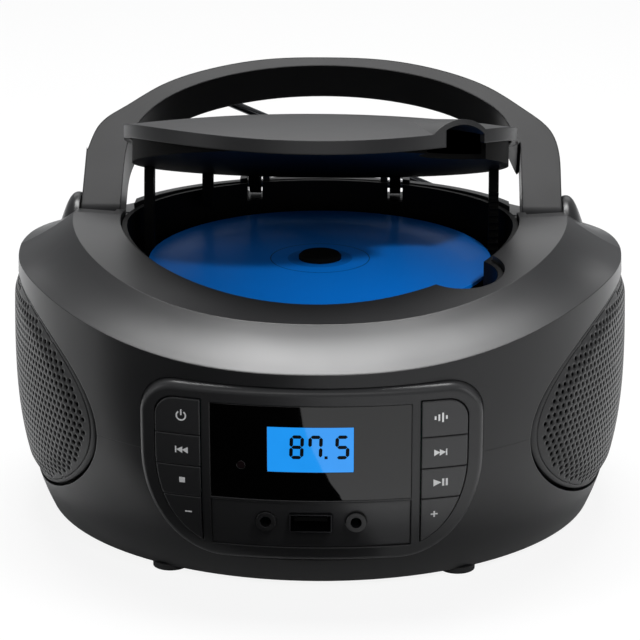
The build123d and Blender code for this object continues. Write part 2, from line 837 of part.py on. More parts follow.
# Disc, hub and motor
disc_low = rel(-disc_t / 2)
disc = rod_along_z(0, 0, disc_d / 2, disc_low, disc_low + disc_t)
disc -= rod_along_z(0, 0, disc_hole_d / 2, disc_low - 1, rel(2))
save("compact_disc", disc)
hub_r = disc_hole_d / 2 - hub_fit
plate_low = rel(well_floor) + 0.6
hub = rod_along_z(0, 0, plate_r, plate_low, disc_low) + rod_along_z(0, 0, hub_r, disc_low, rel(hub_top))
hub = chamfer(hub.edges().group_by(Axis.Z)[-1], 0.8)
shaft_r = 1.0
hub += rod_along_z(0, 0, 3.0, floor_low - 1.5, plate_low)
hub -= rod_along_z(0, 0, shaft_r + 0.04, floor_low - 3, rel(-1.5))
motor_top = floor_low - 2.0
motor = rod_along_z(0, 0, motor_r, motor_low, motor_top) + rod_along_z(0, 0, shaft_r, motor_top, rel(-2.0))
save("spindle_hub", hub)
save("spindle_motor", motor)

# Sled, rods and gear
rack_face = sled_half_x + 1.2
rack_pitch_x = rack_face + root
sled = block(-sled_half_x, sled_half_x, sled_front, sled_back, 62, 74.5)
sled += rod_along_z(0, lens_y, lens_body_r, 74, rel(-3.2))
sled += block(sled_half_x - 1, rack_face, sled_front - 2, -2, 70, 73)
pinion_y = -37.0
pitch = math.pi * tooth_module
for k in range(-2, 14):
    y = pinion_y + (k + 0.5) * pitch
    if not sled_front - 1.5 < y < -2.8:
        continue
    shape = Pos(rack_face, y) * Polygon(
        (-0.3, -half_root), (tip + rack_pitch_x - rack_face, -half_tip),
        (tip + rack_pitch_x - rack_face, half_tip), (-0.3, half_root), align=None
    )
    sled += Pos(0, 0, 70) * extrude(shape, 3)
for side in (-1, 1):
    sled -= rod_along_y(side * rod_x, rod_z, rod_r + pin_fit, sled_front - 5, sled_back + 5)
save("laser_sled", one(sled))
save("laser_lens", rod_along_z(0, lens_y, lens_r, rel(-3.2), rel(-2.4)))
rods = [rod_along_y(side * rod_x, rod_z, rod_r, *rod_y) for side in (-1, 1)]
save("guide_rods", *rods)
pinion_x = rack_pitch_x + gear_r
pinion = extrude(Rot(0, 0, 180) * spur(shaft_r + pin_fit), 2.6)
save("sled_gear", Pos(pinion_x, pinion_y, 70.2) * pinion)
sled_motor = block(pinion_x - 5, pinion_x + 6, pinion_y - 6, pinion_y + 6, chassis_z + chassis_t, 69.4)
sled_motor += rod_along_z(pinion_x, pinion_y, shaft_r, 69, 73.5)
save("sled_motor", sled_motor)

chassis = block(-chassis_half, chassis_half, *chassis_y, chassis_z, chassis_z + chassis_t)
chassis_top = chassis_z + chassis_t
for side in (-1, 1):
    near = sorted((side * 11.5, side * 16.5))
    chassis += block(*near, rod_y[0] - 3, rod_y[0] + 1, chassis_top, rod_z + 3)
    chassis += block(*near, rod_y[1] - 3.8, rod_y[1] - 0.2, chassis_top, rod_z + 3)
    for y in (-56, 12):
        chassis += rod_along_z(side * 30, y, 3, chassis_top, floor_low)
    chassis -= rod_along_y(side * rod_x, rod_z, rod_r, *rod_y)
save("drive_chassis", chassis)

# Handle
lean_plane = Plane(
    origin=(0, pivot_y, pivot_z),
    x_dir=(1, 0, 0),
    z_dir=(0, -math.sin(math.radians(handle_deg)), math.cos(math.radians(handle_deg))),
)
outer_line = (
    (1.0, 0.14), (0.996, 0.364), (0.964, 0.505), (0.859, 0.645), (0.721, 0.785), (0.492, 0.918), (0.241, 0.987)
)
inner_top = handle_reach - handle_top_t
inner_line = ((1.0, 0.22), (0.988, 0.44), (0.935, 0.593), (0.82, 0.745), (0.708, 0.828), (0.42, 0.947))


def bow(line, half, top):
    right = [(half * x, top * y) for x, y in line]
    left = [(-x, y) for x, y in right[::-1]]
    return right + [(0, top)] + left


outer_points = bow(outer_line, handle_out_x, handle_reach)
inner_points = bow(inner_line, handle_in_x, inner_top)
up = (0, 1)
outline = Line((handle_out_x, 0), outer_points[0])
outline += Spline(*outer_points, tangents=(up, (0, -1)))
outline += Polyline(outer_points[-1], (-handle_out_x, 0), (-handle_in_x, 0), inner_points[-1])
outline += Spline(*inner_points[::-1], tangents=(up, (0, -1)))
outline += Polyline(inner_points[0], (handle_in_x, 0), (handle_out_x, 0))
grip = extrude(lean_plane * make_face(outline), handle_half_w, both=True)
for side in (-1, 1):
    near = sorted((side * handle_in_x, side * handle_out_x))
    grip += rod_along_x(pivot_y, pivot_z, handle_half_w, *near)
    near = sorted((side * boss_in_x, side * handle_in_x))
    grip += rod_along_x(pivot_y, pivot_z, boss_r, *near)
    near = sorted((side * (handle_in_x + 2), side * (handle_out_x + 1)))
    grip -= rod_along_x(pivot_y, pivot_z, pin_r + pin_fit, *near)
save("carry_handle", one(grip))
pins = []
for side in (-1, 1):
    near = sorted((side * (handle_in_x + 3), side * (ear_in + 4.3)))
    pins.append(rod_along_x(pivot_y, pivot_z, pin_r, *near))
save("handle_pins", *pins)

# Grilles: the body's form standing a little proud, drilled in rows
shell = body_form(-grille_proud, 6, 96) - body_form(-grille_proud + grille_t, 5, 97)
grille = one(shell & grille_prism(grille_gap, 60, 130))
belt_deg = 180 / math.pi / belt_r
rows = int(grille_half_z / (grille_pitch * 0.866)) + 1
drills = []
for j in range(-rows, rows + 1):
    z = grille_z + j * grille_pitch * 0.866
    for i in range(-12, 13):
        arc = (i + 0.5 * (j % 2)) * grille_pitch
        room_a = (arc / (grille_half * 1.06 - 4)) ** 2
        room_z = ((z - grille_z) / (grille_half_z - 4)) ** 2
        if room_a + room_z > 1:
            continue
        place = Pos(0, 0, z) * Rot(0, 0, grille_deg - 90 + arc * belt_deg) * Pos(105, 0, 0)
        drills.append(place * Rot(0, 90, 0) * Cylinder(grille_hole_r, 12))
grille = grille - drills
save("speaker_grille_right", grille)
save("speaker_grille_left", mirror_x(grille))


# Speakers, on the same direction as their grilles
def on_speaker(shape):
    return Pos(0, 0, grille_z) * Rot(0, 0, grille_deg - 90) * Rot(0, 90, 0) * shape


def disc_at(r, x0, x1):
    return Pos(0, 0, (x0 + x1) / 2) * Cylinder(r, x1 - x0)


def cone_at(r0, r1, x0, x1):
    return Pos(0, 0, (x0 + x1) / 2) * Cone(r0, r1, x1 - x0)


basket = disc_at(basket_r, 94.5, 97) + cone_at(magnet_r, basket_r - 1, 80, 94.5) + disc_at(magnet_r, 66, 80)
basket -= cone_at(magnet_r - 4, basket_r - 3.5, 82, 97.2)
basket -= disc_at(basket_r - 3.6, 96.5, 99)
cone = cone_at(magnet_r - 5, basket_r - 5.2, 83, 96) - cone_at(magnet_r - 6.2, basket_r - 6.0, 84, 96.1)
right_basket = on_speaker(basket)
right_cone = on_speaker(cone)
save("speaker_right", right_basket)
save("speaker_left", mirror_x(right_basket))
save("speaker_cone_right", right_cone)
save("speaker_cone_left", mirror_x(right_cone))

# Boards and supply
save("main_board", block(-main_board_half, main_board_half, *main_board_y, board_z, board_z + board_t))
save("power_transformer", block(*core_x, *core_y, base_z + wall, core_high))

# Battery box, contacts and door
bay_back = back_y - wall - 0.4
out = bay_wall
battery_box = block(-bay_half - out, bay_half + out, bay_front - out, bay_back, bay_low - out, bay_high + out)
battery_box -= block(-bay_half, bay_half, bay_front, bay_back + 1, bay_low, bay_high)
save("battery_box", battery_box)
contacts = []
for x in (-16.6, 0, 16.6):
    for z in (bay_low + 7.5, bay_high - 7.5):
        contacts.append(block(x - 5, x + 5, bay_front, bay_front + 0.5, z - 5, z + 5))
save("battery_contacts", *contacts)
door = block(-door_half, door_half, back_y - door_t, back_y, door_low, door_high)
door += rod_along_x(door_axis_y, door_axis_z, door_pin_r, -door_half - 1.3, door_half + 1.3)
save("battery_door", door)

# Mains inlet, set in the upper shell's flat back
inlet_span = (inlet_x - inlet_half_x, inlet_x + inlet_half_x)
inlet = block(*inlet_span, inlet_y, back_y, inlet_z - inlet_half_z, inlet_z + inlet_half_z)
inlet -= block(inlet_x - 7.6, inlet_x + 7.6, inlet_y + 2, back_y + 1, inlet_z - 3.6, inlet_z + 3.6)
save("mains_inlet", inlet)

# Aerial
bracket = block(aerial_x - 7, aerial_x + 7, 78, panel_front, knuckle_low - 8, knuckle_low - 0.05)
bracket -= body_form(-fit_gap)
bracket -= rod_along_z(aerial_x, aerial_y, 2 + pin_fit, knuckle_low - 6, knuckle_low + 1)
save("aerial_bracket", one(bracket))
knuckle = rod_along_z(aerial_x, aerial_y, knuckle_r, knuckle_low, fork_low)
knuckle += rod_along_z(aerial_x, aerial_y, 2, knuckle_low - 5.8, knuckle_low)
for side in (-1, 1):
    near = sorted((aerial_y + side * 2.0, aerial_y + side * 4.0))
    ear_plate = block(aerial_x - 3.5, aerial_x + 3.5, *near, fork_low - 1, aerial_z)
    knuckle += ear_plate + rod_along_y(aerial_x, aerial_z, 3.5, *near)
knuckle += rod_along_y(aerial_x, aerial_z, 1.2, aerial_y - 4, aerial_y + 4)
save("aerial_knuckle", knuckle)


def on_aerial(shape):
    return Pos(aerial_x, aerial_y, aerial_z) * Rot(0, 180 + aerial_deg, 0) * shape


def stick(r, x0, x1):
    return Pos((x0 + x1) / 2, 0, 0) * Rot(0, 90, 0) * Cylinder(r, x1 - x0)


mid_r = tube_r - tube_wall - tube_gap
thin_r = mid_r - tube_wall - tube_gap
tube_end = tube_from + tube_len
tube = stick(tube_r, tube_from - 4, tube_end)
tongue = Rot(90, 0, 0) * Cylinder(4.2, 3.8)
tube = (tube + tongue) - stick(tube_r - tube_wall, tube_from + 4, tube_end + 1)
tube -= Rot(90, 0, 0) * Cylinder(1.2 + pin_fit, 5)
save("aerial_tube", on_aerial(tube))
middle = stick(mid_r, tube_from + 5, tube_end + 1.5) - stick(mid_r - tube_wall, tube_from + 9, tube_end + 3)
save("aerial_middle", on_aerial(middle))
tip_rod = stick(thin_r, tube_from + 10, tube_end + 3) + stick(2.0, tube_end + 3, tube_end + 8)
save("aerial_tip", on_aerial(tip_rod))

# Feet and screws
feet = [rod_along_z(side * foot_x, y, foot_r, 0, base_z) for side in (-1, 1) for y in foot_y]
save("rubber_feet", *feet)
screws = []
for x, y in screw_spots:
    screws.append(rod_along_z(x, y, 3.0, 6, 8) + rod_along_z(x, y, screw_r, 8, 20))
save("case_screws", *screws)
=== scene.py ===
# %% [markdown]
# # A portable disc player with its lid open
# The solids arrive as a fixed frame in metres. This lesson gives each of them a real surface,
# replaces the two speaker grilles with finer ones, and adds what is printed or lit on the front.

# %% The frame and a few helpers
import math
import bpy
import numpy as np
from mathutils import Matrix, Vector


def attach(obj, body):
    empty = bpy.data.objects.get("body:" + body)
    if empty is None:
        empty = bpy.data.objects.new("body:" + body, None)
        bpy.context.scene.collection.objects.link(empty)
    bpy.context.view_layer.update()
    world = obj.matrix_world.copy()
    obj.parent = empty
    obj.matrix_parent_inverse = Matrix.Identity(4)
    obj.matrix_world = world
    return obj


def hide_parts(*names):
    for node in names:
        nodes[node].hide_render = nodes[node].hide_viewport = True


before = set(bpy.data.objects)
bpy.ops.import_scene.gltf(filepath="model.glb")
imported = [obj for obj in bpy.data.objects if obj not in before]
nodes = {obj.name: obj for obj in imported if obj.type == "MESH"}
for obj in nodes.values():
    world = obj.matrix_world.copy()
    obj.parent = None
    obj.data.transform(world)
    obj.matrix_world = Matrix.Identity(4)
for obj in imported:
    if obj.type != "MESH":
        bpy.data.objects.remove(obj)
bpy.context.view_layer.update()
mm, micron = 0.001, 1e-6


def rgb(code):
    """An sRGB hex colour as linear light: ((c + 0.055) / 1.055) to the power 2.4 above the toe."""
    c = np.array([int(code[i:i + 2], 16) for i in (0, 2, 4)]) / 255
    lin = np.where(c <= 0.04045, c / 12.92, ((c + 0.055) / 1.055) ** 2.4)
    return (*lin.tolist(), 1.0)


def add(tree, kind, values=None, links=None, **props):
    """One node: its properties, then its socket values, then its incoming links."""
    node = tree.nodes.new(kind)
    for key, value in props.items():
        setattr(node, key, value)
    for key, value in (values or {}).items():
        node.inputs[key].default_value = value
    for key, source in (links or {}).items():
        tree.links.new(source, node.inputs[key])
    return node


def per_mm(size):
    """A noise scale whose features are about this many millimetres wide."""
    return 1000.0 / size


def blank(name):
    """A material without nodes, and its tree."""
    mat = bpy.data.materials.new(name)
    mat.use_nodes = True
    mat.node_tree.nodes.clear()
    return mat, mat.node_tree


def close(mat, tree, shader):
    """The shader goes to the material's output, which finishes it."""
    out = add(tree, "ShaderNodeOutputMaterial")
    tree.links.new(shader.outputs[0], out.inputs["Surface"])
    return mat


# %% [markdown]
# ## Moulded plastics
# Most of the case is injection-moulded ABS. The mould is spark-eroded, which leaves a fine even
# grain that breaks up the shine, so the grain goes into the height and, as wide soft patches,
# into the roughness. Every moulded edge also has a small radius, which the Bevel node gives to
# the shading. On plastic this dark the eye mostly sees the sheen, so each piece's specular level
# is matched to the object as well as its colour.

# %% Moulded plastic
plastic_ior = 1.53
patch_mm = 38.0
darker, paler = 0.93, 1.07


def moulded(name, colour, rough, grain_mm=0.45, bump_um=12.0, edge_mm=0.35, spread=0.06,
            specular=0.5):
    """Even colour, grain of one size in shade and height, patches of gloss, rounded edges."""
    mat, tree = blank(name)
    place = add(tree, "ShaderNodeTexCoord").outputs["Object"]
    grain = add(tree, "ShaderNodeTexNoise",
                {"Scale": per_mm(grain_mm), "Detail": 3.0, "Roughness": 0.6}, {"Vector": place})
    wide = add(tree, "ShaderNodeTexNoise", {"Scale": per_mm(patch_mm), "Detail": 2.0},
               {"Vector": place})
    level = add(tree, "ShaderNodeMapRange", {"To Min": rough - spread, "To Max": rough + spread},
                {"Value": wide.outputs["Fac"]})
    shade = add(tree, "ShaderNodeMapRange", {"To Min": darker, "To Max": paler},
                {"Value": grain.outputs["Fac"]})
    hue = add(tree, "ShaderNodeHueSaturation", {"Color": rgb(colour)},
              {"Value": shade.outputs["Result"]})
    edge = add(tree, "ShaderNodeBevel", {"Radius": edge_mm * mm}, samples=6)
    bump = add(tree, "ShaderNodeBump", {"Strength": 0.35, "Distance": bump_um * micron},
               {"Height": grain.outputs["Fac"], "Normal": edge.outputs["Normal"]})
    skin = add(tree, "ShaderNodeBsdfPrincipled",
               {"IOR": plastic_ior, "Specular IOR Level": specular},
               {"Base Color": hue.outputs["Color"], "Roughness": level.outputs["Result"],
                "Normal": bump.outputs["Normal"]})
    return close(mat, tree, skin)


abs_case = moulded("ABS, spark-eroded satin, graphite", "1e1e1f", 0.32, specular=0.32)
abs_lid = moulded("ABS, spark-eroded satin, lid", "1f1f20", 0.38, edge_mm=0.6, specular=0.26)
abs_handle = moulded("ABS, spark-eroded satin, handle", "1b1b1c", 0.38, edge_mm=0.8,
                     specular=0.08)
abs_bezel = moulded("ABS, satin, panel surround", "252526", 0.34, edge_mm=0.6, specular=0.4)
abs_key = moulded("ABS, fine satin, keys", "2b2b2c", 0.30, edge_mm=0.7)
abs_inner = moulded("ABS, matt black, inside", "070707", 0.60, bump_um=18.0, specular=0.05)
abs_well = moulded("polystyrene, matt black, disc well", "060607", 0.48, specular=0.12)
nylon_socket = moulded("nylon, glass-filled, black, sockets", "121213", 0.30, grain_mm=0.8,
                       edge_mm=0.25)
acetal = moulded("acetal, natural white", "dcdad2", 0.35, grain_mm=1.5)
rubber = moulded("rubber, moulded, black", "1b1b1c", 0.75, bump_um=40.0)
print("materials in the file", len(bpy.data.materials))

# %% [markdown]
# ## Metals
# The aerial is drawn brass tube with black chrome on it. Rods and pins are drawn steel, whose
# fine lines run along the rod. Sockets are stamped and nickel plated, and have dulled. The
# grilles are steel too, but powder coated, so they shade like a plastic.


# %% Metals
def metal(name, colour, rough, along=(1.0, 1.0, 1.0), line_mm=0.3, bump_um=3.0):
    """Full metal; noise stretched along one way draws the lines that forming leaves."""
    mat, tree = blank(name)
    place = add(tree, "ShaderNodeTexCoord").outputs["Object"]
    turn = add(tree, "ShaderNodeMapping", {"Scale": along}, {"Vector": place})
    lines = add(tree, "ShaderNodeTexNoise", {"Scale": per_mm(line_mm), "Detail": 4.0},
                {"Vector": turn.outputs["Vector"]})
    level = add(tree, "ShaderNodeMapRange", {"To Min": rough * 0.7, "To Max": rough * 1.4},
                {"Value": lines.outputs["Fac"]})
    bump = add(tree, "ShaderNodeBump", {"Strength": 0.3, "Distance": bump_um * micron},
               {"Height": lines.outputs["Fac"]})
    skin = add(tree, "ShaderNodeBsdfPrincipled", {"Base Color": rgb(colour), "Metallic": 1.0},
               {"Roughness": level.outputs["Result"], "Normal": bump.outputs["Normal"]})
    return close(mat, tree, skin)


dark_chrome = metal("brass tube, black chrome plate", "4a4b4d", 0.10, line_mm=2.0, bump_um=0.5)
drawn_steel = metal("steel rod, drawn", "77787a", 0.28, along=(1.0, 0.08, 1.0))
plated = metal("steel, stamped and nickel plated", "3c3c3e", 0.35)
ferrite = metal("ferrite and zinc-plated steel", "4a4b4e", 0.55, line_mm=1.2)
powder_steel = moulded("steel sheet, perforated, powder coated", "19191a", 0.40, grain_mm=0.3,
                       bump_um=20.0, specular=0.32)
print("materials in the file", len(bpy.data.materials))

# %% [markdown]
# ## The disc
# A disc is clear polycarbonate over a metal film. This one carries a blue lacquer. What the eye
# sees is a deep blue that glows where light falls on it, a little darker inside the clamping
# area, with a fine dark ring moulded outside that. Both are drawn from the distance to the
# disc's own axis, and very fine rings vary the gloss.

# %% The disc's surface
ring_m, ring_half_m, clamped_m = 0.0173, 0.00016, 0.0113
clamped_share = 0.3

mat, tree = blank("polycarbonate disc, blue lacquer on metal film")
place = add(tree, "ShaderNodeTexCoord").outputs["Object"]
flat = add(tree, "ShaderNodeVectorMath", {1: (1.0, 1.0, 0.0)}, {0: place}, operation="MULTIPLY")
radius = add(tree, "ShaderNodeVectorMath", {}, {0: flat.outputs[0]},
             operation="LENGTH").outputs["Value"]
line_at = add(tree, "ShaderNodeMath", {1: ring_m}, {0: radius}, operation="SUBTRACT")
line_abs = add(tree, "ShaderNodeMath", {}, {0: line_at.outputs[0]}, operation="ABSOLUTE")
line_in = add(tree, "ShaderNodeMath", {1: ring_half_m}, {0: line_abs.outputs[0]},
              operation="LESS_THAN")
inner = add(tree, "ShaderNodeMath", {1: clamped_m}, {0: radius}, operation="LESS_THAN")
marks = add(tree, "ShaderNodeMath", {1: clamped_share}, {0: inner.outputs[0]},
            operation="MULTIPLY")
both = add(tree, "ShaderNodeMath", {}, {0: line_in.outputs[0], 1: marks.outputs[0]},
           operation="MAXIMUM")
rings = add(tree, "ShaderNodeTexNoise", {"Scale": per_mm(0.6), "Detail": 3.0},
            {"Vector": radius})
ramp = add(tree, "ShaderNodeValToRGB", {}, {"Fac": both.outputs[0]})
ramp.color_ramp.elements[0].color = rgb("0b70d0")
ramp.color_ramp.elements[1].color = rgb("04204a")
level = add(tree, "ShaderNodeMapRange", {"To Min": 0.30, "To Max": 0.36},
            {"Value": rings.outputs["Fac"]})
film = add(tree, "ShaderNodeBsdfPrincipled",
           {"Specular IOR Level": 0.08, "Coat Weight": 0.02, "Coat Roughness": 0.10,
            "Coat IOR": 1.58},
           {"Base Color": ramp.outputs["Color"], "Roughness": level.outputs["Result"]})
disc_film = close(mat, tree, film)
print("disc ring at", round(ring_m / mm, 1), "mm, clamping area to", round(clamped_m / mm, 1), "mm")

# %% [markdown]
# ## Clear and lit surfaces
# The window is smoked acrylic, polished so that it mirrors what stands in front. The display is
# a backlit cell: an even blue glow with a faint cloudiness, and a glossy face. The laser's lens
# is coated glass, and the infrared receiver sits behind dark acrylic.

# %% Window, display, lens
window_acrylic = moulded("acrylic, polished, smoked black", "030303", 0.04, grain_mm=6.0,
                         bump_um=0.5, edge_mm=0.2, spread=0.01)
sensor_acrylic = moulded("acrylic, infrared window", "191113", 0.12, grain_mm=2.0, bump_um=1.0,
                         spread=0.02)
mat, tree = blank("display cell, blue backlight")
place = add(tree, "ShaderNodeTexCoord").outputs["Object"]
cloud = add(tree, "ShaderNodeTexNoise", {"Scale": per_mm(9.0), "Detail": 1.0},
            {"Vector": place})
glow = add(tree, "ShaderNodeMapRange", {"To Min": 0.92, "To Max": 1.04},
           {"Value": cloud.outputs["Fac"]})
skin = add(tree, "ShaderNodeBsdfPrincipled",
           {"Base Color": rgb("02060a"), "Roughness": 0.06, "Emission Color": rgb("2196f3")},
           {"Emission Strength": glow.outputs["Result"]})
lcd_cell = close(mat, tree, skin)

mat, tree = blank("glass lens, coated")
place = add(tree, "ShaderNodeTexCoord").outputs["Object"]
haze = add(tree, "ShaderNodeTexNoise", {"Scale": per_mm(1.5)}, {"Vector": place})
level = add(tree, "ShaderNodeMapRange", {"To Min": 0.02, "To Max": 0.06},
            {"Value": haze.outputs["Fac"]})
skin = add(tree, "ShaderNodeBsdfPrincipled",
           {"Base Color": rgb("8fa3d8"), "IOR": 1.5, "Transmission Weight": 0.6},
           {"Roughness": level.outputs["Result"]})
lens_glass = close(mat, tree, skin)
print("materials in the file", len(bpy.data.materials))

# %% [markdown]
# ## Inside
# Boards are glass-fibre laminate under green lacquer, whose weave shows faintly. The transformer
# is a stack of thin steel sheets. Cones are pressed paper with loose fibres.

# %% Boards, core and paper
weave_mm, track_cell_mm, track_share = 1.6, 5.0, 0.07
wave_turn = 6.28

mat, tree = blank("glass-fibre laminate, green lacquer")
place = add(tree, "ShaderNodeTexCoord").outputs["Object"]
weave = add(tree, "ShaderNodeTexWave", {"Scale": per_mm(weave_mm) / wave_turn, "Distortion": 0.4},
            {"Vector": place}, bands_direction="DIAGONAL")
copper = add(tree, "ShaderNodeTexVoronoi", {"Scale": per_mm(track_cell_mm)}, {"Vector": place},
             feature="DISTANCE_TO_EDGE")
track = add(tree, "ShaderNodeMath", {1: track_share}, {0: copper.outputs["Distance"]},
            operation="LESS_THAN")
ramp = add(tree, "ShaderNodeValToRGB", {}, {"Fac": track.outputs[0]})
ramp.color_ramp.elements[0].color = rgb("134a2b")
ramp.color_ramp.elements[1].color = rgb("2c7346")
bump = add(tree, "ShaderNodeBump", {"Strength": 0.3, "Distance": 20 * micron},
           {"Height": weave.outputs["Fac"]})
skin = add(tree, "ShaderNodeBsdfPrincipled", {"Roughness": 0.32, "IOR": 1.55},
           {"Base Color": ramp.outputs["Color"], "Normal": bump.outputs["Normal"]})
laminate = close(mat, tree, skin)
core_steel = metal("transformer core, stacked sheets", "5a5650", 0.5, along=(0.05, 0.05, 1.0),
                   line_mm=0.5, bump_um=60.0)
paper = moulded("pressed paper, black", "181818", 0.85, grain_mm=0.8, bump_um=120.0)
print("materials in the file", len(bpy.data.materials))

# %% [markdown]
# ## Dressing the solids
# Each solid of the frame takes one material from a table of finishes. Its mesh stays as it is.
# The print at the end names any solid that the table has missed.

# %% Dressing the solids
finishes = {
    abs_case: ["upper_shell", "lower_shell", "battery_door"],
    abs_lid: ["cd_lid"],
    abs_handle: ["carry_handle"],
    abs_bezel: ["front_bezel"],
    abs_key: ["jack_panel", "power_key", "back_key", "stop_key", "volume_down_key", "mode_key",
              "next_key", "play_key", "volume_up_key"],
    abs_inner: ["lid_inner_pan", "lid_arm_left", "lid_arm_right", "lid_stop_arm",
                "spindle_hub", "usb_tongue", "aerial_bracket", "aerial_knuckle", "laser_sled",
                "drive_chassis", "lid_damper", "key_switches", "battery_box", "mains_inlet"],
    abs_well: ["disc_well"],
    acetal: ["sled_gear", "damper_gear"],
    rubber: ["rubber_feet"],
    dark_chrome: ["aerial_tube", "aerial_middle", "aerial_tip"],
    nylon_socket: ["headphone_jack", "line_in_jack"],
    drawn_steel: ["guide_rods", "lid_hinge_pins", "handle_pins", "spindle_motor", "sled_motor",
                  "case_screws"],
    plated: ["usb_port", "battery_contacts"],
    ferrite: ["speaker_left", "speaker_right"],
    disc_film: ["compact_disc"],
    window_acrylic: ["display_window"],
    sensor_acrylic: ["ir_sensor"],
    lcd_cell: ["lcd_module"],
    lens_glass: ["laser_lens"],
    laminate: ["main_board", "key_board"],
    core_steel: ["power_transformer"],
    paper: ["speaker_cone_left", "speaker_cone_right"],
    powder_steel: ["speaker_grille_left", "speaker_grille_right"],
}
for material, names in finishes.items():
    for name in names:
        obj = nodes[name]
        obj.data.materials.clear()
        obj.data.materials.append(material)
dressed = {name for names in finishes.values() for name in names}
print("undressed", sorted(set(nodes) - dressed))

# %% [markdown]
# ## The body's surface in numbers
# Printed signs and grilles have to lie on curved walls, so the two walls are needed as formulas.
# The belly is an oval whose radii shrink below the belt by a power curve, and a little above it.
# The panel is a drum that leans in with the belly.

# %% Two wall formulas
belt_r, belt_z, base_z = 106.0, 60.0, 2.0
side_drop, front_drop, drop_power = 9.7, 15.0, 2.6
above_span, above_inset, above_power = 35.0, 1.2, 1.5
panel_r, panel_front = 150.0, 106.8


def below_belt(z):
    """Depth below the belt over the belt's height, to the drop's power: 0 at the belt, 1 low."""
    return np.clip((belt_z - z) / (belt_z - base_z), 0, 1) ** drop_power


def belly(z, drop):
    """Radius = belt less drop times the share below it, less a small inset above it."""
    above = np.clip((z - belt_z) / above_span, 0, 2)
    return belt_r - drop * below_belt(z) - above_inset * above**above_power


def wall_point(angle, z, proud):
    """A point on the belly at an angle round from the front, moved out by proud."""
    a, b = belly(z, side_drop) + proud, belly(z, front_drop) + proud
    r = a * b / np.hypot(b * np.sin(angle), a * np.cos(angle))
    return np.stack([r * np.sin(angle), -r * np.cos(angle), z + 0 * angle], -1)


def panel_y(x, z, proud):
    """The panel's drum: its axis stands behind, its radius shrinks with the belly's lean."""
    lean = front_drop * below_belt(z)
    return panel_r - panel_front - np.sqrt((panel_r - lean + proud) ** 2 - x * x)


def surface(name, points, faces, material, body, smooth=True):
    """A mesh from points in millimetres and rows of point numbers, riding on one body."""
    mesh = bpy.data.meshes.new(name)
    mesh.from_pydata((np.asarray(points) * mm).tolist(), [], [tuple(f) for f in faces])
    mesh.validate()
    mesh.update()
    mesh.polygons.foreach_set("use_smooth", [smooth] * len(mesh.polygons))
    obj = bpy.data.objects.new(name, mesh)
    bpy.context.collection.objects.link(obj)
    obj.data.materials.append(material)
    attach(obj, body)
    return obj


print("panel's drum at the belt", round(float(panel_y(0.0, belt_z, 0.0)), 1), "mm")

# %% [markdown]
# ## Speaker grilles
# The real grille is a thin sheet with about a thousand punched holes, pressed into a shallow
# dome. It is built as a honeycomb: each cell is a ring between a six-sided outline and a round
# hole, so neighbouring cells share their outlines and every hole is open. A plain rim finishes
# the oval.

# %% Speaker grilles
grille_a, grille_b, grille_z, grille_deg = 65.0, 35.7, 49.0, 80.5
pitch, hole_r, sheet_t = 2.7, 0.76, 0.8
sheet_edge, hole_edge, edge_slack = 0.965, 0.93, 0.02
rim_height, dome_rise, dome_span = -0.5, 1.6, 0.22
rows_out, columns_out, corners = 17, 30, 12
weld_mm, rim_steps = 0.01, 160


def dome(q):
    """Height of the sheet over the wall: low at the rim, full inside 0.78 of the oval."""
    t = np.clip((1 - q) / dome_span, 0, 1)
    return rim_height + dome_rise * t * t * (3 - 2 * t)


def oval_share(s, z):
    """0 in the middle of the oval, 1 on its outline; s runs round the wall."""
    across = belt_r * np.sin(s / belt_r)
    return np.sqrt((across / grille_a) ** 2 + ((z - grille_z) / grille_b) ** 2)


def on_grille(s, z, lower):
    """The sheet's point at s round the wall and z up it, sunk by lower."""
    q = oval_share(s, z)
    return wall_point(math.radians(grille_deg) + s / belt_r, z, dome(q) - lower)


def weld(points):
    """Points that fall together become one: the kept points and each one's new number."""
    key = np.round(points / weld_mm).astype(np.int64)
    _, first, number = np.unique(key, axis=0, return_index=True, return_inverse=True)
    return points[first], number.reshape(-1)


def drawn_in(s, z):
    """Points outside the sheet's edge slide straight towards the oval's centre, to its edge."""
    share = np.minimum(1.0, sheet_edge / oval_share(s, z))
    across = belt_r * np.sin(s / belt_r) * share
    return belt_r * np.arcsin(across / belt_r), grille_z + (z - grille_z) * share


def honeycomb():
    """Cells in staggered rows; ring k of a cell joins outline point k to hole point k."""
    rows, columns = np.mgrid[-rows_out:rows_out + 1, -columns_out:columns_out + 1]
    s0 = (columns + 0.5 * (rows % 2)) * pitch
    z0 = grille_z + rows * pitch * math.sqrt(3) / 2
    q = oval_share(s0, z0)
    keep = q < sheet_edge + edge_slack
    s0, z0, q = s0[keep], z0[keep], q[keep]
    open_hole = q < hole_edge
    turn = np.arange(corners) * math.pi / 6 + math.pi / 6
    corner = np.where(np.arange(corners) % 2 == 0, pitch / math.sqrt(3), pitch / 2)
    ring_s = s0[:, None] + corner * np.cos(turn)
    ring_z = z0[:, None] + corner * np.sin(turn)
    ring_s, ring_z = drawn_in(ring_s, ring_z)
    hole_s = s0[:, None] + hole_r * np.cos(turn)
    hole_z = z0[:, None] + hole_r * np.sin(turn)
    levels = [on_grille(ring_s, ring_z, 0), on_grille(hole_s, hole_z, 0.0),
              on_grille(hole_s, hole_z, sheet_t), on_grille(ring_s, ring_z, sheet_t)]
    points = np.stack(levels, 1).reshape(-1, 3)
    base = (np.arange(len(s0)) * len(levels) * corners)[:, None]
    k = np.arange(corners)[None, :]
    n = (k + 1) % corners
    quads = []
    for level in range(len(levels) - 1):
        a, b = base + level * corners + k, base + level * corners + n
        ring = np.stack([a, b, b + corners, a + corners], -1)
        quads.append(ring[open_hole].reshape(-1, 4))
    caps = base[~open_hole] + k
    kept, number = weld(points)
    faces = [list(f) for f in number[np.concatenate(quads)]]
    faces += [list(f) for f in number[caps]]
    return kept, faces, int(open_hole.sum())


